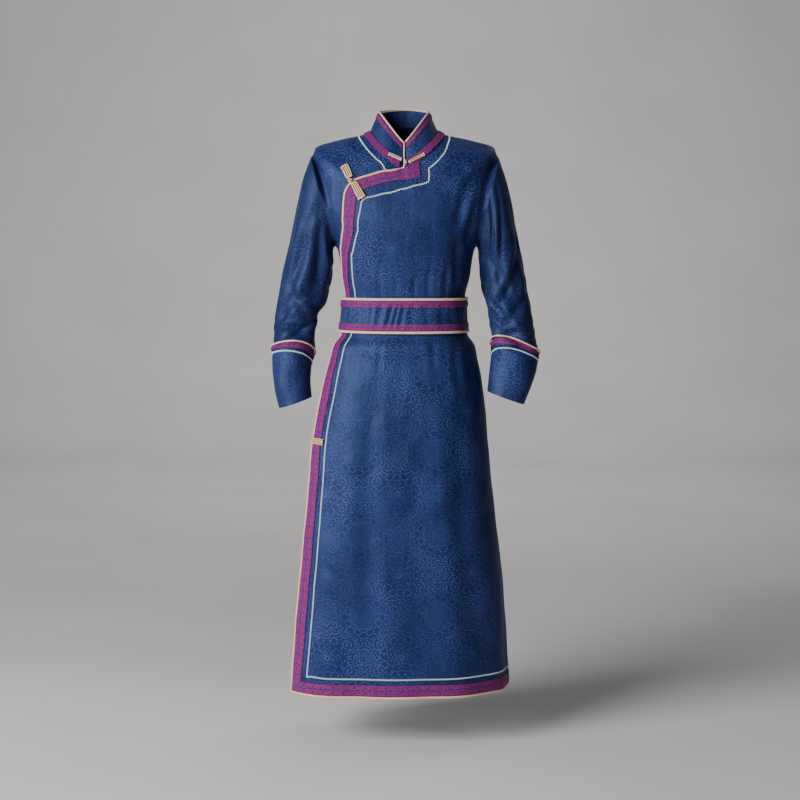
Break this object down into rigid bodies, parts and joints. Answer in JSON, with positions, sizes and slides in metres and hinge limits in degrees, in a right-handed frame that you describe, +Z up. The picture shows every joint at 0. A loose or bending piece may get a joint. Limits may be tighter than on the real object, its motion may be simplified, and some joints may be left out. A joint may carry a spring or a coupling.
{
  "type": "mongolian deel robe",
  "caption": "Long sleeved wrap robe with a side-closing overlap, standing collar, turned cuff bands, braid trim, cord frogs and a trimmed sash belt, in worn form.",
  "frame": {"origin": "on the neck's axis, level with the neck opening at the sides, where the robe hangs on the wearer's shoulders", "axes": "+Z up along the standing wearer, -Y the way the front faces, +X the wearer's left"},
  "size_m": [0.6392, 0.3466, 1.3741],
  "materials": {
    "satin": "satin",
    "braid": "woven",
    "piping": "satin",
    "frog": "satin"
  },
  "bodies": {
    "root": {"back": "satin", "belt": "satin", "braid_back_hem": "braid", "braid_belt_bottom": "braid", "braid_belt_top": "braid", "braid_collar": "braid", "braid_cuff_left": "braid", "braid_cuff_right": "braid", "braid_front": "braid", "braid_neck": "braid", "collar": "satin", "cuff_left": "satin", "cuff_right": "satin", "frog_chest_lower": "frog", "frog_chest_upper": "frog", "frog_hip": "frog", "frog_neck_left": "frog", "frog_neck_right": "frog", "front_overlap": "satin", "front_under": "satin", "knot_chest": "frog", "piping_back_hem": "piping", "piping_belt_bottom": "piping", "piping_belt_top": "piping", "piping_collar": "piping", "piping_cuff_left": "piping", "piping_cuff_right": "piping", "piping_front": "piping", "sleeve_left": "satin", "sleeve_right": "satin"}
  },
  "joints": []
}
